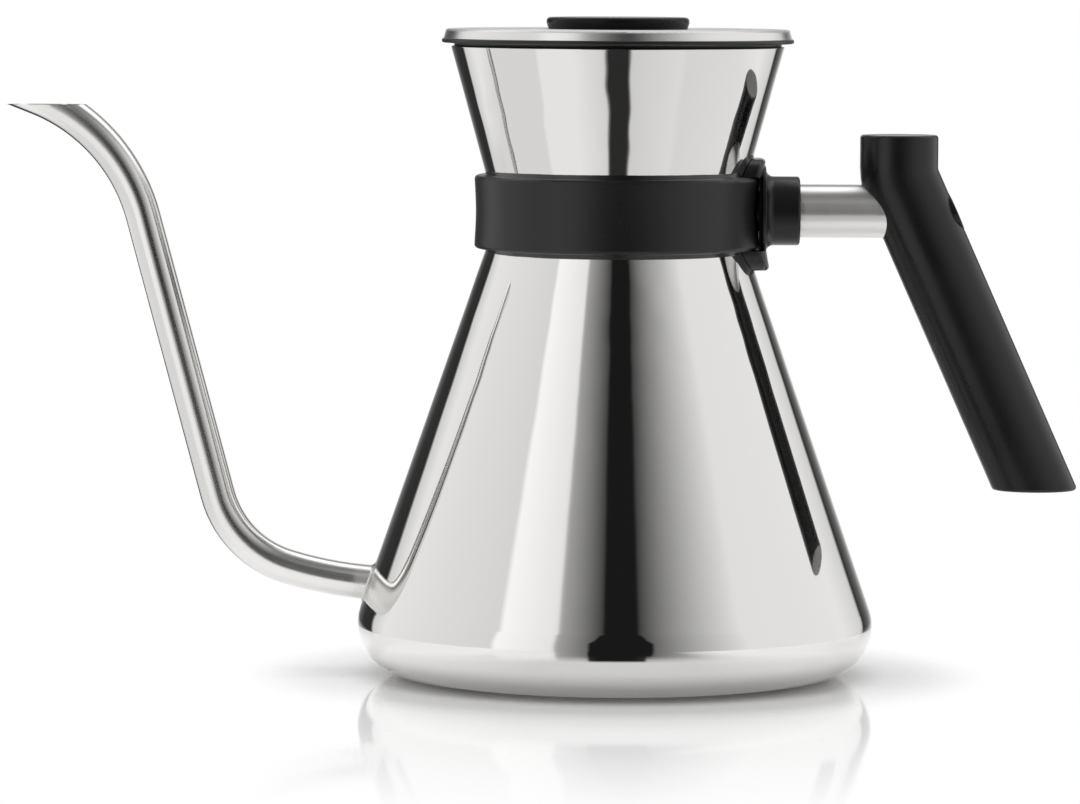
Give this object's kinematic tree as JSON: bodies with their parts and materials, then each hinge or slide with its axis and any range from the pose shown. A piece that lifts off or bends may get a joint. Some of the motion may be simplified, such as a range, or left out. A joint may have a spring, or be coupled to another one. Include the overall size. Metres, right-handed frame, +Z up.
{
  "type": "gooseneck kettle",
  "caption": "Stovetop pouring kettle with an hourglass steel body, thin gooseneck spout, black waist collar, slanted side handle and a lift-off lid with a flat knob.",
  "frame": {"origin": "centre of the flat face that the kettle stands on", "axes": "+Z up along the vessel's axis, +X towards the handle, spout towards -X"},
  "size_m": [0.3113, 0.15, 0.1914],
  "materials": {
    "polished_steel": "mirror-polished stainless steel",
    "brushed_steel": "brushed stainless steel",
    "black_silicone": "matte black silicone",
    "black_phenolic": "satin black moulded resin",
    "brass": "turned brass",
    "zinc_steel": "zinc-plated steel"
  },
  "bodies": {
    "kettle": {"body_shell": "polished_steel", "base_pan": "polished_steel", "base_disc": "brushed_steel", "spout_tube": "polished_steel", "weld_boss": "brushed_steel", "collar_band": "black_silicone", "handle_bracket": "black_phenolic", "stem_tube": "brushed_steel", "grip": "black_phenolic", "grip_plug": "black_phenolic", "handle_bolt": "zinc_steel", "bolt_washer": "zinc_steel"},
    "lid": {"lid_plate": "brushed_steel", "lid_skirt": "brushed_steel", "lid_seal": "black_silicone", "lid_knob": "black_phenolic", "knob_bush": "brass", "knob_washer": "zinc_steel", "knob_screw": "zinc_steel"}
  },
  "joints": [
    {"name": "lid_lift", "type": "slide", "parent": "kettle", "child": "lid", "axis": [0, 0, 1], "range_m": [0, 0.08]}
  ]
}
